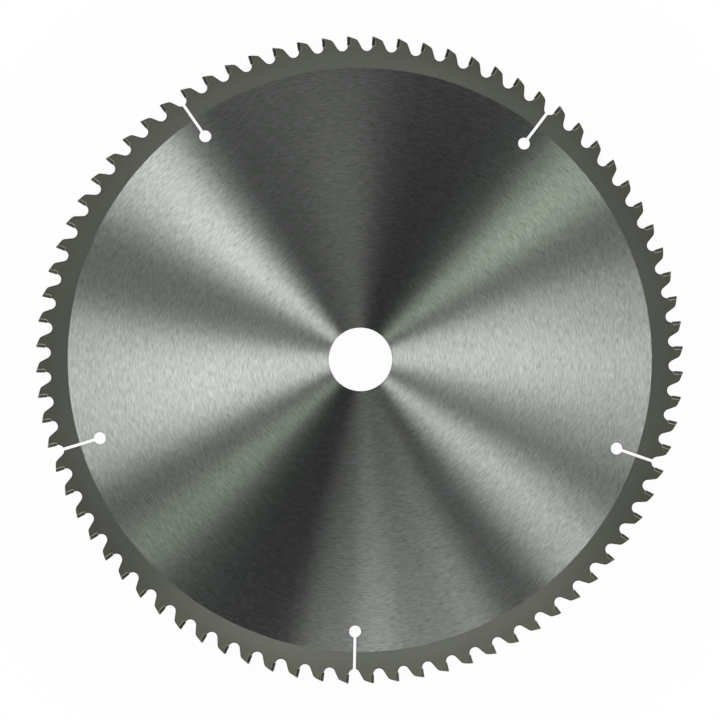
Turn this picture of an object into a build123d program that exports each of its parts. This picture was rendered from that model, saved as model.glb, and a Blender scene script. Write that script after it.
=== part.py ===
from build123d import *

import math
import os

# Circular saw blade with brazed carbide tips. Millimetres and degrees.
# The blade lies in the XY plane with its bore on the Z axis and the plate's middle at Z = 0.
# A tooth is drawn at twelve o'clock: +Y is up the tooth, and it cuts towards -X.

# Blade as a whole
blade_diameter = 305.0
bore_diameter = 30.0
plate_thickness = 2.2
tooth_count = 80

# Carbide tips: the cutting point of a high tip lies on the blade diameter
kerf = 3.0
tip_length = 4.3
tip_thickness = 1.3
rake_angle = -2.0
relief_angle = 8.0
radial_clearance = 1.0
tangential_clearance = 2.5
flat_tip_drop = 0.2
corner_bevel = 0.8

# Braze between a tip's back and the wall of its seat
braze_gap = 0.25
braze_proud = 0.1

# Tooth of the plate behind the tip
land_step = 0.28
land_slope = 21.4
back_angle = 25.8
crest_radius = 2.5

# Gullet in front of the tip: one round, from under the seat to the sloped back of the tooth ahead
tip_overhang = 0.28
gullet_depth = 7.03
gullet_radius = 2.66

# Expansion slots, each from the bottom of a gullet towards the bore
slot_count = 5
slot_width = 1.4
slot_hole_diameter = 5.7
slot_hole_circle = 255.9
first_slot_angle = -90.0

# Tips and seams are kept in groups, because they are too many for a node each
tips_per_node = 2
seams_per_node = 16

tip_radius = blade_diameter / 2
pitch = 360 / tooth_count
half_plate = plate_thickness / 2
half_kerf = kerf / 2
cutting_point = Vector(0, tip_radius)


def heading(angle):
    """Unit vector at an angle from +X."""
    return Vector(math.cos(math.radians(angle)), math.sin(math.radians(angle)))


def turned(point, angle):
    """The point turned about the bore."""
    return point.rotate(Axis.Z, angle)


def meet(point, direction, other_point, other_direction):
    """Where two lines in the XY plane cross."""
    gap = other_point - point
    side = direction.X * other_direction.Y - direction.Y * other_direction.X
    along = (gap.X * other_direction.Y - gap.Y * other_direction.X) / side
    return point + direction * along


def rounded(before, corner, after, radius):
    """Start, middle and end of the arc that rounds a corner."""
    arrive = (corner - before).normalized()
    leave = (after - corner).normalized()
    reach = radius * math.tan(math.radians(arrive.get_angle(leave) / 2))
    inward = (leave - arrive).normalized()
    middle = corner + inward * (math.hypot(radius, reach) - radius)
    return corner - arrive * reach, middle, corner + leave * reach


# Directions at twelve o'clock: down the cutting face, back from it, along the tip's top and along the land
down_face = heading(rake_angle - 90)
off_face = heading(rake_angle)
along_top = heading(-relief_angle)
along_land = heading(-land_slope)
up_back = heading(90 + back_angle)


def tip_corners(drop):
    """Corners of a tip in its side view: the point, the foot of the face, the foot of the back and its top."""
    top = cutting_point - Vector(0, drop)
    face_foot = cutting_point + down_face * tip_length
    rear_foot = face_foot + off_face * tip_thickness
    point = meet(top, along_top, cutting_point, down_face)
    rear_top = meet(top, along_top, rear_foot, down_face)
    return point, face_foot, rear_foot, rear_top


# Seat: the tip's foot stands on its floor, and the braze fills the gap behind the tip
_, front_foot, back_foot, back_top = tip_corners(0)
seat_front = front_foot + off_face * tip_overhang
seat_inner = back_foot + off_face * braze_gap
braze_top = back_top + down_face * land_step
seat_top = braze_top + off_face * braze_gap

# Gullet: its circle touches the gullet's depth, passes through the front of the seat and ends on the back ahead
gullet_height = tip_radius - gullet_depth + gullet_radius
rise = seat_front.Y - gullet_height
gullet_centre = Vector(seat_front.X - math.sqrt(gullet_radius**2 - rise**2), gullet_height)
gullet_lead = gullet_centre.get_angle(heading(90))
seat_bearing = 360 + math.degrees(math.asin(rise / gullet_radius))
back_bearing = 180 + back_angle + pitch
bottom_bearing = (seat_bearing + back_bearing) / 2
gullet_arc = [
    gullet_centre + heading(bearing) * gullet_radius for bearing in (back_bearing, bottom_bearing, seat_bearing)
]

# The back of this tooth runs from the next gullet up to the land
heel = turned(gullet_arc[0], -pitch)
back_corner = meet(heel, up_back, seat_top, along_land)


def tooth_edges():
    """Outline from the back of the tooth ahead, round the gullet, over the tooth and down its back."""
    crest = rounded(seat_top, back_corner, heel, crest_radius)
    return [
        ThreePointArc(*gullet_arc),
        Line(seat_front, seat_inner),
        Line(seat_inner, seat_top),
        Line(seat_top, crest[0]),
        ThreePointArc(*crest),
        Line(crest[2], heel),
    ]


def slot_angle(index):
    """Angle of a slot from +X: the gullet nearest to an even spacing."""
    return first_slot_angle + pitch * round(index * tooth_count / slot_count)


def tooth_angle(index):
    """Turn about the bore that takes a tooth from twelve o'clock to its place."""
    return first_slot_angle + pitch * index - gullet_lead - 90


def blade_plate():
    """The steel plate with its bore, teeth, seats and slots."""
    one_tooth = tooth_edges()
    outline = [edge.rotate(Axis.Z, tooth_angle(i)) for i in reversed(range(tooth_count)) for edge in one_tooth]
    hole_radius = slot_hole_circle / 2
    mouth_radius = gullet_centre.length
    slot = Pos(X=(hole_radius + mouth_radius) / 2) * Rectangle(mouth_radius - hole_radius, slot_width)
    slot += Pos(X=hole_radius) * Circle(slot_hole_diameter / 2)
    sheet = Face(Wire(outline)) - Circle(bore_diameter / 2)
    sheet -= [Rot(Z=slot_angle(i)) * slot for i in range(slot_count)]
    return extrude(sheet, amount=half_plate, both=True)


def side_plane(side):
    """Flank of a tip: it leaves the cutting edge inwards, both down the face and back from it."""
    edge_end = Vector(0, tip_radius, side * half_kerf)
    lean_down = down_face * math.tan(math.radians(radial_clearance))
    lean_back = off_face * math.tan(math.radians(tangential_clearance))
    return Plane(origin=edge_end, z_dir=lean_down + lean_back + Vector(0, 0, side))


def bevel_plane(side):
    """Bevel across one top corner of a high tip, at 45 degrees to its top."""
    start = Vector(0, tip_radius, side * (half_kerf - corner_bevel))
    top_normal = heading(90 - relief_angle)
    return Plane(origin=start, z_dir=top_normal + Vector(0, 0, side))


def carbide_tip(is_high):
    """One tip at twelve o'clock."""
    drop = 0 if is_high else flat_tip_drop
    blank = extrude(make_face(Polyline(*tip_corners(drop), close=True)), amount=half_kerf, both=True)
    planes = [side_plane(side) for side in (1, -1)]
    if is_high:
        planes += [bevel_plane(side) for side in (1, -1)]
    for plane in planes:
        blank = split(blank, bisect_by=plane, keep=Keep.BOTTOM)
    return blank


def braze_seam():
    """Braze at twelve o'clock: a strip between the tip's back and the seat's wall, a little proud of the plate."""
    strip = make_face(Polyline(seat_top, seat_inner, back_foot, braze_top, close=True))
    return extrude(strip, amount=half_plate + braze_proud, both=True)


def placed(solid, index):
    """A copy of the twelve o'clock solid at its own tooth."""
    return Rot(Z=tooth_angle(index)) * solid


def save(shape, name):
    """Write one node."""
    shape.label = name
    export_step(shape, f"parts/{name}.step")


def save_groups(name, solids, group_size):
    """Write solids in numbered nodes of a few each."""
    for first in range(0, len(solids), group_size):
        group = Compound(children=solids[first : first + group_size])
        save(group, f"{name}_{first // group_size + 1:02d}")


os.makedirs("parts", exist_ok=True)
save(blade_plate(), "blade_plate")

tip_kinds = [carbide_tip(True), carbide_tip(False)]
tips = [placed(tip_kinds[i % 2], i) for i in range(tooth_count)]
save_groups("tip_pair", tips, tips_per_node)

seam = braze_seam()
seams = [placed(seam, i) for i in range(tooth_count)]
save_groups("braze_seams", seams, seams_per_node)
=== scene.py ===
import math
from collections import namedtuple

import bmesh
import bpy
from mathutils import Matrix, Vector


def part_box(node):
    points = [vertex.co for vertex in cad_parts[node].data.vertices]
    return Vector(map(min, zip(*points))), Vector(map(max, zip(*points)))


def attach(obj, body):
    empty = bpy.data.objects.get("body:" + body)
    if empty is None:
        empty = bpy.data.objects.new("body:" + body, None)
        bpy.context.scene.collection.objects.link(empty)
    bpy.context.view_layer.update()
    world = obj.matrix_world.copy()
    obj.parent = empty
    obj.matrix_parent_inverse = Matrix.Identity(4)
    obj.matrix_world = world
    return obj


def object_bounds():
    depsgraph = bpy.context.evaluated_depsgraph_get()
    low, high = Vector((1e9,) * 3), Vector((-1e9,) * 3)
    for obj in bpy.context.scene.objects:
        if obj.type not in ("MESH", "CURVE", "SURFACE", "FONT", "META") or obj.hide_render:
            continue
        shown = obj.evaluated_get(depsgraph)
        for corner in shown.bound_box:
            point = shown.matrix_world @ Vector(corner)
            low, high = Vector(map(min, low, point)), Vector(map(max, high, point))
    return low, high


# Circular saw blade, lying flat on a pale floor inside a light tent, seen from above. Metres and degrees.

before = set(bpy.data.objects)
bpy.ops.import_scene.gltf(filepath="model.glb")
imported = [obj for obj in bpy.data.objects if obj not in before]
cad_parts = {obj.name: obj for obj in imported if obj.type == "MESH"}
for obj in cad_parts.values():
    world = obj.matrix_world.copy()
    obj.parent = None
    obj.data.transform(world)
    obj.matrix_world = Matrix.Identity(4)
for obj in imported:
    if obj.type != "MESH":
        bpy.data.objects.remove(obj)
cad_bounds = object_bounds()

MM = 0.001
UP = Vector((0, 0, 1))
WHITE = (1.0, 1.0, 1.0, 1.0)

# Sizes that the frame gives
floor_level = cad_bounds[0].z
plate_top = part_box("blade_plate")[1].z
tip_circle = cad_bounds[1].x

# Camera: almost straight above the blade, leaning to the picture's left and a little towards its bottom
CAMERA_DISTANCE = 1.835
CAMERA_LENS = 194.98
SENSOR_WIDTH = 36.0
LEAN_LEFT = 2.13
LEAN_DOWN = 1.35
PICTURE_ROLL = 1.14
CAMERA_ASIDE = Vector((-0.22, -0.28)) * MM

# Light tent: a dome over the blade, dark inside but for bright panels whose edges are soft
TENT_RADIUS = 0.45
TENT_SEGMENTS = 240
TENT_RINGS = 120
TENT_GLOW = 0.0001
PANEL_EDGE = 2.0

# Panel: azimuth from the picture's right, half its width, angles off the zenith where it starts and ends,
# brightness as the brushed steel shows it, and tint
Panel = namedtuple("Panel", "azimuth half_width start end brightness tint", defaults=[(1.0, 1.0, 1.0)])
GREEN = (0.885, 1.0, 0.86)
COOL = (1.015, 1.0, 1.07)
ALL_ROUND = 180 + PANEL_EDGE
PANELS = [
    # Cloth all round the tent, which lights the rim and the dark fans
    Panel(0, ALL_ROUND, 30, 52, 0.05, COOL),
    Panel(0, ALL_ROUND, 52, 88, 0.28, COOL),
    # Small lights high up: each makes a fan that runs across the bore
    Panel(9, 14, 9, 15, 2.0),
    Panel(38, 5, 14, 20, 1.5, GREEN),
    Panel(88, 9, 12, 18, 0.4),
    Panel(128, 6, 7, 16, 2.7),
    Panel(182, 18, 6, 12, 2.7),
    Panel(226, 5, 5, 12, 1.1, GREEN),
    Panel(332, 5, 10, 16, 2.5),
    # Strips towards the picture's bottom: the broad fan there
    Panel(272, 10, 22, 28, 0.85),
    Panel(289, 14, 19, 25, 0.9),
    # Tall panels at the sides, which strengthen the fans towards the rim
    Panel(358, 21, 43, 78, 0.75),
    Panel(186, 19, 29, 85, 0.6),
    Panel(168, 20, 46, 75, 0.25),
    # Tall panels at the corners, which do the same there
    Panel(41, 7, 37, 85, 0.55, GREEN),
    Panel(137, 10, 29, 85, 0.7),
    Panel(221, 5, 37, 80, 0.65, GREEN),
    Panel(320, 6, 31, 54, 0.8),
    Panel(322, 8, 54, 85, 0.65),
    # Faint panels between them
    Panel(109, 5, 40, 78, 0.2),
    Panel(128, 5, 24, 36, 0.35),
    Panel(300, 5, 22, 32, 0.3),
    Panel(356, 12, 14, 43, 0.2),
]

# Floor: its faint shadow fades out between two circles, given as shares of the tip circle
FLOOR_RADIUS = 6.0
FLOOR_SIDES = 96
FLOOR_WHITE = 0.95
SHADOW_SHARE = 0.03
SHADOW_START = 1.1
SHADOW_END = 1.6

# Plate and teeth, as in the part's source
TOOTH_COUNT = 80
TIP_LENGTH = 4.3 * MM
TIP_THICKNESS = 1.3 * MM
RAKE_ANGLE = -2.0
RELIEF_ANGLE = 8.0
TIP_OVERHANG = 0.28 * MM
BRAZE_GAP = 0.25 * MM
LAND_STEP = 0.28 * MM
LAND_SLOPE = 21.4
BACK_ANGLE = 25.8
CREST_EASE = 1.2 * MM
GULLET_DEPTH = 7.03 * MM
GULLET_RADIUS = 2.66 * MM
BORE_RADIUS = 15.0 * MM
SLOT_COUNT = 5
SLOT_START = -90.0
SLOT_WIDTH = 1.4 * MM
SLOT_HOLE_RADIUS = 2.85 * MM
SLOT_HOLE_CIRCLE = 127.95 * MM

# Fillets: braze that has run out along a tip's back and foot
FILLET_HALF_WIDTH = 0.30 * MM
FILLET_HEIGHT = 0.14 * MM
FILLET_OFFSET = 0.10 * MM
FILLET_DROP = 1.6 * LAND_STEP
FILLET_SIDES = 8
FILLET_CORNER = 0.5 * MM
FILLET_CORNER_STEPS = 3

# Direction of the scratches that a grinder leaves, in turns
ROUND_THE_BORE = 0.25
OUT_FROM_THE_BORE = 0.0

# Brushed centre of the plate: fine and coarser scratches, and streaks in two sets that drift apart and cross
BRUSHED_RADIUS = 137.5 * MM
BRUSHED_STEEL = (0.595, 0.625, 0.580)
BRUSHED_ROUGHNESS = 0.2
BRUSHED_ANISOTROPY = 1.0
COARSE_ROUGHNESS = 0.28
COARSE_SHARE = 0.42
STREAK_LENGTH = 3.2 * MM
STREAK_WIDTH = 0.5 * MM
STREAK_SHIFT = 7.3
STREAK_SHADE = 0.7
STREAK_DETAIL = 1.0
DRIFT_LENGTH = 7.0 * MM
DRIFT_REACH = 2.5 * MM

# Rim of the plate: it darkens outwards, up to where the heat of the brazing has browned the teeth
BORDER_BLUR = 0.1 * MM
RIM_STEEL = (0.297, 0.312, 0.265)
RIM_ROUGHNESS = 0.4
RIM_ANISOTROPY = 0.9
RIM_SHADE = 0.12
RIM_SHADE_START = 139.5 * MM
RIM_SHADE_END = 147.0 * MM
HEATED_STEEL = (0.262, 0.272, 0.207)
HEAT_START = 145.5 * MM
HEAT_END = 149.0 * MM
HEAT_WANDER = 3.0 * MM
MOTTLE_SIZE = 2.0 * MM
MOTTLE_DETAIL = 3.0
MOTTLE_ROUGHNESS = 0.6
MOTTLE_SHADE = 0.14

# Edges of the plate's faces get a little painted shade, as a broken edge would show, and the cut walls below
# them are dark
EDGE_SHADE = 0.17
EDGE_SHADE_START = 0.2 * MM
EDGE_SHADE_END = 0.9 * MM
CUT_STEEL = (0.10, 0.095, 0.085)
CUT_ROUGHNESS = 0.5
CUT_MARGIN = 0.02 * MM
CUT_MARK_WIDTH = 0.3 * MM
CUT_MARK_LENGTH = 4.0 * MM
CUT_MARK_SHADE = 0.8

# Tips
CARBIDE = (0.204, 0.213, 0.176)
CARBIDE_SHADE = 0.3
CARBIDE_ROUGHNESS = 0.3
CARBIDE_ROUGHNESS_RANGE = 0.04
CARBIDE_GRAIN = 0.5 * MM

# Braze
BRAZE = (0.495, 0.520, 0.418)
BRAZE_SHADE = 0.4
BRAZE_ROUGHNESS = 0.58
BRAZE_ROUGHNESS_RANGE = 0.12
BRAZE_WAVE = 0.8 * MM


# Tooth at twelve o'clock


def heading(angle):
    """Level unit vector at an angle from +X."""
    return Vector((math.cos(math.radians(angle)), math.sin(math.radians(angle)), 0))


down_face = heading(RAKE_ANGLE - 90)
off_face = heading(RAKE_ANGLE)
top_length = TIP_THICKNESS / math.cos(math.radians(RELIEF_ANGLE + RAKE_ANGLE))
tip_point = Vector((0, tip_circle, 0))
tip_back = tip_point + heading(-RELIEF_ANGLE) * top_length
seat_top = tip_back + down_face * LAND_STEP + off_face * BRAZE_GAP
seat_front = tip_point + down_face * TIP_LENGTH + off_face * TIP_OVERHANG
gullet_height = tip_circle - GULLET_DEPTH + GULLET_RADIUS
gullet_reach = math.sqrt(GULLET_RADIUS**2 - (seat_front.y - gullet_height) ** 2)
gullet_centre = Vector((seat_front.x - gullet_reach, gullet_height, 0))

# The tooth's back ends at its heel, on the circle of the gullet behind it
pitch = 360 / TOOTH_COUNT
gullet_behind = Matrix.Rotation(math.radians(-pitch), 3, "Z") @ gullet_centre
heel = gullet_behind + heading(180 + BACK_ANGLE) * GULLET_RADIUS


# Shader maths


class Wire:
    """A shader socket that can be used in Python expressions."""

    def __init__(self, graph, socket):
        self.graph = graph
        self.socket = socket

    def __add__(self, other):
        return self.graph.maths("ADD", self, other)

    def __sub__(self, other):
        return self.graph.maths("SUBTRACT", self, other)

    def __rsub__(self, other):
        return self.graph.maths("SUBTRACT", other, self)

    def __mul__(self, other):
        return self.graph.maths("MULTIPLY", self, other)

    def __truediv__(self, other):
        return self.graph.maths("DIVIDE", self, other)

    def __pow__(self, other):
        return self.graph.maths("POWER", self, other)

    def __abs__(self):
        return self.graph.maths("ABSOLUTE", self)

    __radd__ = __add__
    __rmul__ = __mul__


class Graph:
    """The node tree of one material."""

    def __init__(self, tree):
        self.tree = tree
        tree.nodes.clear()

    def put(self, socket, value):
        """Link a wire to a socket, or set a plain value on it."""
        if isinstance(value, Wire):
            self.tree.links.new(value.socket, socket)
        else:
            socket.default_value = value

    def node(self, kind, settings=None, inputs=None):
        """Add a node: its settings first, then the values or wires of its sockets, named or numbered."""
        made = self.tree.nodes.new(kind)
        for name, value in (settings or {}).items():
            setattr(made, name, value)
        for name, value in (inputs or {}).items():
            self.put(made.inputs[name], value)
        return made

    def wire(self, kind, output=0, settings=None, inputs=None):
        """One output of a new node."""
        return Wire(self, self.node(kind, settings, inputs).outputs[output])

    def maths(self, operation, *values):
        """A Math node."""
        return self.wire("ShaderNodeMath", 0, {"operation": operation}, dict(enumerate(values)))

    def smooth(self, value, start, end, low=0.0, high=1.0):
        """A value that eases from low at start to high at end."""
        settings = {"interpolation_type": "SMOOTHSTEP"}
        stops = {"Value": value, "From Min": start, "From Max": end, "To Min": low, "To Max": high}
        return self.wire("ShaderNodeMapRange", 0, settings, stops)

    def noise(self, vector, detail=2.0, roughness=0.5):
        """Noise about 0.5 over a vector."""
        inputs = {"Vector": vector, "Scale": 1.0, "Detail": detail, "Roughness": roughness}
        return self.wire("ShaderNodeTexNoise", 0, {"noise_dimensions": "3D"}, inputs)

    def cloud(self, at, size, detail=2.0, roughness=0.5):
        """Noise about 0.5 over object coordinates, of one size in all directions."""
        return self.noise(self.vector(*(along / size for along in at)), detail, roughness)

    def vector(self, x, y, z):
        """A vector from three numbers."""
        return self.wire("ShaderNodeCombineXYZ", 0, None, {0: x, 1: y, 2: z})

    def place(self):
        """Object coordinates, as three numbers."""
        at = self.wire("ShaderNodeTexCoord", "Object")
        split = self.node("ShaderNodeSeparateXYZ", None, {0: at})
        return [Wire(self, out) for out in split.outputs]

    def blend(self, share, first, second):
        """Colour that goes from first to second with share."""
        settings = {"data_type": "RGBA", "clamp_factor": True}
        return self.wire("ShaderNodeMix", 2, settings, {0: share, 6: first, 7: second})

    def scaled(self, colour, amount):
        """A colour times a number."""
        settings = {"operation": "SCALE"}
        return self.wire("ShaderNodeVectorMath", 0, settings, {0: colour, 3: amount})

    def mix(self, share, first, second):
        """Shader that goes from first to second with share."""
        return self.wire("ShaderNodeMixShader", 0, None, {0: share, 1: first, 2: second})

    def metal(self, colour, roughness, anisotropy=0.0, scratches=0.0):
        """A metal's shader, with the direction of its scratches."""
        inputs = {"Base Color": colour, "Metallic": 1.0, "Roughness": roughness}
        inputs.update({"Anisotropic": anisotropy, "Anisotropic Rotation": scratches})
        return self.wire("ShaderNodeBsdfPrincipled", 0, None, inputs)

    def finish(self, shader, output="ShaderNodeOutputMaterial"):
        """Show a shader."""
        self.node(output, None, {"Surface": shader})


def uneven(middle, noise, span):
    """A value that noise moves about its middle, within a span."""
    return middle + (noise - 0.5) * span


def new_material(name):
    """An empty material and its graph."""
    material = bpy.data.materials.new(name)
    material.use_nodes = True
    return material, Graph(material.node_tree)


# Studio


def picture_turn():
    """Rotation that takes the blade's frame to the camera's."""
    down = Matrix.Rotation(math.radians(-LEAN_DOWN), 3, "X")
    left = Matrix.Rotation(math.radians(LEAN_LEFT), 3, "Y")
    roll = Matrix.Rotation(math.radians(-PICTURE_ROLL), 3, "Z")
    return down @ left @ roll


def make_camera():
    """Camera over the blade."""
    camera = bpy.data.objects.new("camera", bpy.data.cameras.new("camera"))
    bpy.context.scene.collection.objects.link(camera)
    camera.data.lens = CAMERA_LENS
    camera.data.sensor_width = SENSOR_WIDTH
    to_blade = picture_turn().transposed()
    above = Vector((*CAMERA_ASIDE, CAMERA_DISTANCE + plate_top))
    camera.matrix_world = Matrix.Translation(to_blade @ above) @ to_blade.to_4x4()
    bpy.context.scene.camera = camera


def link_mesh(name, shape):
    """A new object from a bmesh."""
    mesh = bpy.data.meshes.new(name)
    shape.to_mesh(mesh)
    shape.free()
    made = bpy.data.objects.new(name, mesh)
    bpy.context.scene.collection.objects.link(made)
    return made


def soft_step(inside):
    """From 0 to 1 over the soft edge of a panel, by the angle inside it."""
    share = min(max((inside / PANEL_EDGE + 1) / 2, 0), 1)
    return share * share * (3 - 2 * share)


def tent_light(at):
    """Light of the tent's cloth at a point: the panels, on a dim ground."""
    azimuth = math.degrees(math.atan2(at.y, at.x)) - PICTURE_ROLL
    zenith_angle = math.degrees(math.atan2(math.hypot(at.x, at.y), at.z))
    light = Vector((TENT_GLOW, TENT_GLOW, TENT_GLOW))
    for panel in PANELS:
        off_azimuth = abs((azimuth - panel.azimuth + 180) % 360 - 180)
        around = soft_step(panel.half_width - off_azimuth)
        across = soft_step(zenith_angle - panel.start) - soft_step(zenith_angle - panel.end)
        light += Vector(panel.tint) * (around * across * panel.brightness)
    return light / BRUSHED_STEEL[1]


def tent_material():
    """Cloth that glows as its light attribute says."""
    material, graph = new_material("light_tent")
    light = graph.wire("ShaderNodeAttribute", "Color", {"attribute_name": "light"})
    graph.finish(graph.wire("ShaderNodeEmission", 0, None, {"Color": light, "Strength": 1.0}))
    material.cycles.emission_sampling = "NONE"
    return material


def make_tent():
    """The light tent, which the camera looks through."""
    shape = bmesh.new()
    bmesh.ops.create_uvsphere(shape, u_segments=TENT_SEGMENTS, v_segments=TENT_RINGS, radius=TENT_RADIUS)
    everything = shape.verts[:] + shape.edges[:] + shape.faces[:]
    bmesh.ops.bisect_plane(shape, geom=everything, plane_co=UP * floor_level, plane_no=UP, clear_inner=True)
    tent = link_mesh("light_tent", shape)
    light = tent.data.color_attributes.new("light", "FLOAT_COLOR", "POINT")
    for corner, vertex in zip(light.data, tent.data.vertices):
        corner.color = (*tent_light(vertex.co), 1.0)
    tent.data.materials.append(tent_material())
    tent.visible_camera = False


def floor_material():
    """Floor that looks white, in reflections too, but keeps a faint shadow near the blade."""
    material, graph = new_material("pale_floor")
    x, y, _ = graph.place()
    rays = graph.node("ShaderNodeLightPath")
    seen = Wire(graph, rays.outputs["Is Camera Ray"])
    for other in ("Is Glossy Ray", "Is Transmission Ray"):
        seen = graph.maths("MAXIMUM", seen, Wire(graph, rays.outputs[other]))
    out = (x * x + y * y) ** 0.5
    near, far = tip_circle * SHADOW_START, tip_circle * SHADOW_END
    white_share = graph.smooth(out, near, far, 1 - SHADOW_SHARE, 1.0)
    paper_white = (FLOOR_WHITE, FLOOR_WHITE, FLOOR_WHITE, 1.0)
    paper = graph.wire("ShaderNodeBsdfDiffuse", 0, None, {"Color": paper_white})
    glow = graph.wire("ShaderNodeEmission", 0, None, {"Color": WHITE, "Strength": 1.0})
    graph.finish(graph.mix(seen * white_share, paper, glow))
    return material


def make_floor():
    """Round floor that the blade lies on."""
    shape = bmesh.new()
    bmesh.ops.create_circle(shape, cap_ends=True, segments=FLOOR_SIDES, radius=FLOOR_RADIUS)
    bmesh.ops.translate(shape, verts=shape.verts, vec=UP * floor_level)
    floor = link_mesh("floor", shape)
    floor.data.materials.append(floor_material())


def make_world():
    """White surroundings beyond the tent."""
    world = bpy.data.worlds.new("surroundings")
    bpy.context.scene.world = world
    world.use_nodes = True
    graph = Graph(world.node_tree)
    light = graph.wire("ShaderNodeBackground", 0, None, {"Color": WHITE, "Strength": 1.0})
    graph.finish(light, "ShaderNodeOutputWorld")


# Braze fillets


def tip_place():
    """Turn about the bore that takes a tooth from twelve o'clock to the first tip's place."""
    corners = [vertex.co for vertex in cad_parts["tip_pair_01"].data.vertices]
    point = max(corners, key=lambda at: at.xy.length)
    return math.atan2(point.y, point.x) - math.pi / 2


def of_kind(parts, kind):
    """The parts of a mesh that are of one kind."""
    return [part for part in parts if isinstance(part, kind)]


def carry_on(shape, faces, step):
    """Extrude faces by a step, and give the faces at the new end."""
    made = bmesh.ops.extrude_face_region(shape, geom=faces)["geom"]
    bmesh.ops.translate(shape, verts=of_kind(made, bmesh.types.BMVert), vec=step)
    return of_kind(made, bmesh.types.BMFace)


def turn_round(shape, parts, angle):
    """Turn parts about the bore."""
    verts = of_kind(parts, bmesh.types.BMVert)
    bmesh.ops.rotate(shape, verts=verts, cent=Vector(), matrix=Matrix.Rotation(angle, 3, "Z"))


def one_fillet():
    """Fillet at twelve o'clock on the plate's top: down a tip's back, round its corner, along its foot."""
    level = UP * plate_top
    start = tip_back + level + down_face * FILLET_DROP + off_face * FILLET_OFFSET
    foot_level = TIP_LENGTH + FILLET_OFFSET
    back_out = TIP_THICKNESS + FILLET_OFFSET
    back_end = tip_point + level + off_face * back_out + down_face * (foot_level - FILLET_CORNER)
    corner_hub = back_end - off_face * FILLET_CORNER
    foot_start = corner_hub + down_face * FILLET_CORNER
    foot_end = tip_point + level + off_face * FILLET_HALF_WIDTH + down_face * foot_level

    shape = bmesh.new()
    ring = bmesh.ops.create_circle(shape, cap_ends=True, segments=FILLET_SIDES, radius=1.0)["verts"]
    flat_top = Matrix.Rotation(math.pi / FILLET_SIDES, 4, "Z")
    section = Matrix((off_face * FILLET_HALF_WIDTH, UP * FILLET_HEIGHT, -down_face)).transposed()
    bmesh.ops.transform(shape, verts=ring, matrix=Matrix.Translation(start) @ section.to_4x4() @ flat_top)
    end = carry_on(shape, shape.faces[:], back_end - start)
    turned = bmesh.ops.spin(
        shape,
        geom=end,
        cent=corner_hub,
        axis=UP,
        angle=math.radians(-90),
        steps=FILLET_CORNER_STEPS,
        use_duplicate=False,
    )["geom_last"]
    carry_on(shape, of_kind(turned, bmesh.types.BMFace), foot_end - foot_start)
    bmesh.ops.recalc_face_normals(shape, faces=shape.faces)
    return shape


def make_fillets(braze):
    """A fillet round the back and the foot of every tip, on both sides of the plate."""
    shape = one_fillet()
    upper = shape.verts[:] + shape.edges[:] + shape.faces[:]
    lower = bmesh.ops.duplicate(shape, geom=upper)["geom"]
    bmesh.ops.translate(shape, verts=of_kind(lower, bmesh.types.BMVert), vec=UP * (-2 * plate_top))
    pair = upper + lower
    turn_round(shape, pair, tip_place())
    for tooth in range(1, TOOTH_COUNT):
        copy = bmesh.ops.duplicate(shape, geom=pair)["geom"]
        turn_round(shape, copy, math.tau * tooth / TOOTH_COUNT)
    for face in shape.faces:
        face.smooth = len(face.verts) == 4
    fillets = link_mesh("braze_fillets", shape)
    fillets.data.materials.append(braze)
    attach(fillets, "root")


# Distance from the plate's edges


def circle_distance(graph, out, turn, centre_out, radius):
    """Distance from a circle, by the angle at the bore between the point and the circle's centre."""
    square = out * out + centre_out**2 - out * (2 * centre_out) * graph.maths("COSINE", turn)
    return square**0.5 - radius


def nearest_turn(graph, azimuth, start, count):
    """Angle from the nearest of a number of evenly spaced places."""
    spacing = math.tau / count
    return (graph.maths("FRACT", (azimuth - start) / spacing + 0.5) - 0.5) * spacing


def tooth_distance(graph, azimuth, out, first_tooth):
    """Distance from the land and the sloped back of the nearest tooth, eased over the crest between them."""
    # A tooth reaches further behind its point than ahead, so the border between two is a quarter pitch off
    shift = math.radians(pitch / 4)
    turn = nearest_turn(graph, azimuth, first_tooth - shift, TOOTH_COUNT) - shift
    across = out * graph.maths("SINE", turn) * -1
    up = out * graph.maths("COSINE", turn)
    sides = []
    for corner, normal in ((seat_top, heading(90 - LAND_SLOPE)), (heel, heading(BACK_ANGLE))):
        sides.append((corner.x - across) * normal.x + (corner.y - up) * normal.y)
    return graph.maths("MAXIMUM", graph.maths("SMOOTH_MIN", *sides, CREST_EASE), heel.length - out)


def slot_distance(graph, azimuth, out):
    """Distance from the nearest slot and from the round hole at its end."""
    turn = nearest_turn(graph, azimuth, math.radians(SLOT_START), SLOT_COUNT)
    hole = circle_distance(graph, out, turn, SLOT_HOLE_CIRCLE, SLOT_HOLE_RADIUS)
    wall = abs(out * graph.maths("SINE", turn)) - SLOT_WIDTH / 2
    return graph.maths("MINIMUM", hole, graph.maths("MAXIMUM", wall, SLOT_HOLE_CIRCLE - out))


def edge_distance(graph, x, y, out):
    """Distance of a point of the plate's face from the nearest edge."""
    azimuth = graph.maths("ARCTAN2", y, x)
    first_tooth = tip_place() + math.pi / 2
    gullet_lead = math.atan2(gullet_centre.y, gullet_centre.x) - math.pi / 2
    gullet_turn = nearest_turn(graph, azimuth, first_tooth + gullet_lead, TOOTH_COUNT)
    gullet = circle_distance(graph, out, gullet_turn, gullet_centre.length, GULLET_RADIUS)
    tooth = tooth_distance(graph, azimuth, out, first_tooth)
    nearest = out - BORE_RADIUS
    for distance in (gullet, tooth, slot_distance(graph, azimuth, out)):
        nearest = graph.maths("MINIMUM", nearest, distance)
    return nearest


# Finishes


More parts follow.
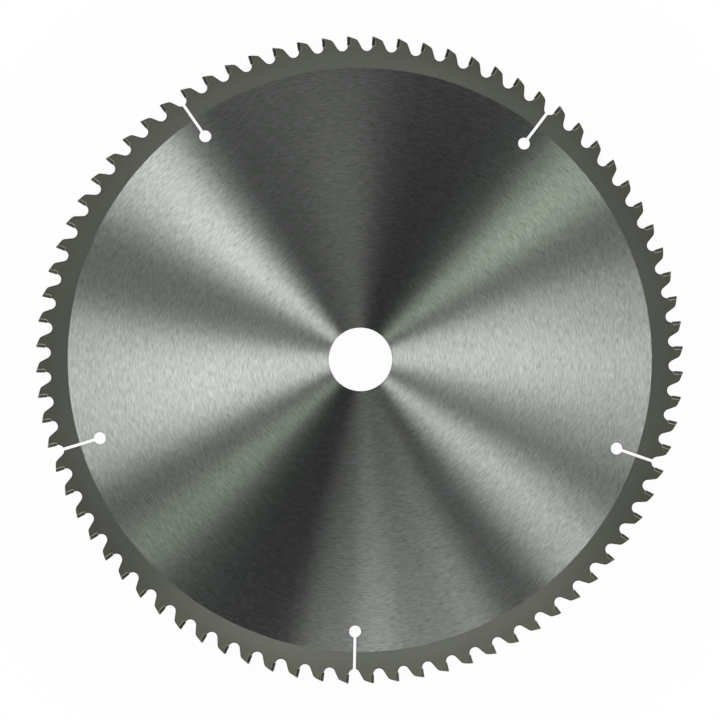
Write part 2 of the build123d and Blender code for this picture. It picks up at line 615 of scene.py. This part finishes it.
def brushed_metal(graph, at, out, edge, roughness):
    """Centre of the plate: scratched round the bore, with short streaks."""
    x, y, _ = at
    drift = graph.noise(graph.vector(x / DRIFT_LENGTH, y / DRIFT_LENGTH, 0.0), STREAK_DETAIL) - 0.5
    streaks = []
    for side in (1, -1):
        lane = (out + drift * (side * DRIFT_REACH)) / STREAK_WIDTH + STREAK_SHIFT * side
        streaks.append(graph.noise(graph.vector(x / STREAK_LENGTH, y / STREAK_LENGTH, lane), STREAK_DETAIL))
    streak = streaks[0] + streaks[1] - 1.0
    # The edge factor darkens the colour with painted shade along the plate's edges
    steel = graph.scaled(graph.vector(*BRUSHED_STEEL), (1.0 - streak * STREAK_SHADE) * edge)
    fine = graph.metal(steel, roughness, BRUSHED_ANISOTROPY, ROUND_THE_BORE)
    coarse = graph.metal(steel, COARSE_ROUGHNESS, BRUSHED_ANISOTROPY, ROUND_THE_BORE)
    return graph.mix(COARSE_SHARE, fine, coarse)


def rim_metal(graph, at, out, edge):
    """Rim of the plate: scratched outwards, a little mottled, browned at the teeth."""
    mottle = graph.cloud(at, MOTTLE_SIZE, MOTTLE_DETAIL, MOTTLE_ROUGHNESS)
    heated = graph.smooth(uneven(out, mottle, HEAT_WANDER), HEAT_START, HEAT_END)
    steel = graph.blend(heated, (*RIM_STEEL, 1.0), (*HEATED_STEEL, 1.0))
    shade = graph.smooth(out, RIM_SHADE_START, RIM_SHADE_END, 1.0, 1 - RIM_SHADE) + heated * RIM_SHADE
    # The edge factor darkens the colour with painted shade along the plate's edges
    steel = graph.scaled(steel, uneven(1.0, mottle, MOTTLE_SHADE) * shade * edge)
    return graph.metal(steel, RIM_ROUGHNESS, RIM_ANISOTROPY, OUT_FROM_THE_BORE)


def cut_metal(graph, at):
    """Cut walls of the plate: dark, with marks that run through its thickness."""
    x, y, z = at
    marks = graph.noise(graph.vector(x / CUT_MARK_WIDTH, y / CUT_MARK_WIDTH, z / CUT_MARK_LENGTH))
    steel = graph.scaled(graph.vector(*CUT_STEEL), uneven(1.0, marks, CUT_MARK_SHADE))
    return graph.metal(steel, CUT_ROUGHNESS)


def steel_material():
    """Plate: brushed in circles at the centre, ground outwards at the rim, dark where it was cut."""
    material, graph = new_material("plate_steel")
    at = graph.place()
    x, y, z = at
    out = (x * x + y * y) ** 0.5
    at_rim = graph.smooth(out, BRUSHED_RADIUS - BORDER_BLUR, BRUSHED_RADIUS + BORDER_BLUR)
    at_cut = graph.maths("LESS_THAN", abs(z), plate_top - CUT_MARGIN)
    inside = edge_distance(graph, x, y, out)
    # Painted shade: the faces darken towards their edges, as light would fall off over a broken edge
    edge = graph.smooth(inside, EDGE_SHADE_START, EDGE_SHADE_END, 1 - EDGE_SHADE, 1.0)
    # The centre's roughness follows the other zones too, so that the exported plate has a map of it
    roughness = BRUSHED_ROUGHNESS + at_rim * (RIM_ROUGHNESS - BRUSHED_ROUGHNESS)
    roughness += at_cut * (CUT_ROUGHNESS - roughness)
    face = graph.mix(at_rim, brushed_metal(graph, at, out, edge, roughness), rim_metal(graph, at, out, edge))
    graph.finish(graph.mix(at_cut, face, cut_metal(graph, at)))
    return material


def carbide_material():
    """Tips: dark ground carbide, slightly mottled."""
    material, graph = new_material("tip_carbide")
    grain = graph.cloud(graph.place(), CARBIDE_GRAIN)
    carbide = graph.scaled(graph.vector(*CARBIDE), uneven(1.0, grain, CARBIDE_SHADE))
    graph.finish(graph.metal(carbide, uneven(CARBIDE_ROUGHNESS, grain, CARBIDE_ROUGHNESS_RANGE)))
    return material


def braze_material():
    """Braze: pale silver alloy, a little uneven."""
    material, graph = new_material("braze_silver")
    wave = graph.cloud(graph.place(), BRAZE_WAVE)
    silver = graph.scaled(graph.vector(*BRAZE), uneven(1.0, wave, BRAZE_SHADE))
    graph.finish(graph.metal(silver, uneven(BRAZE_ROUGHNESS, wave, BRAZE_ROUGHNESS_RANGE)))
    return material


def dress_blade(braze):
    """Give every node of the blade its finish."""
    finishes = {"blade_plate": steel_material(), "tip_pair": carbide_material(), "braze_seams": braze}
    for name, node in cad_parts.items():
        finish = next(finishes[start] for start in finishes if name.startswith(start))
        for slot in node.material_slots:
            slot.material = finish


bpy.context.scene.view_settings.view_transform = "Standard"
make_world()
make_camera()
make_floor()
make_tent()
silver_braze = braze_material()
make_fillets(silver_braze)
dress_blade(silver_braze)
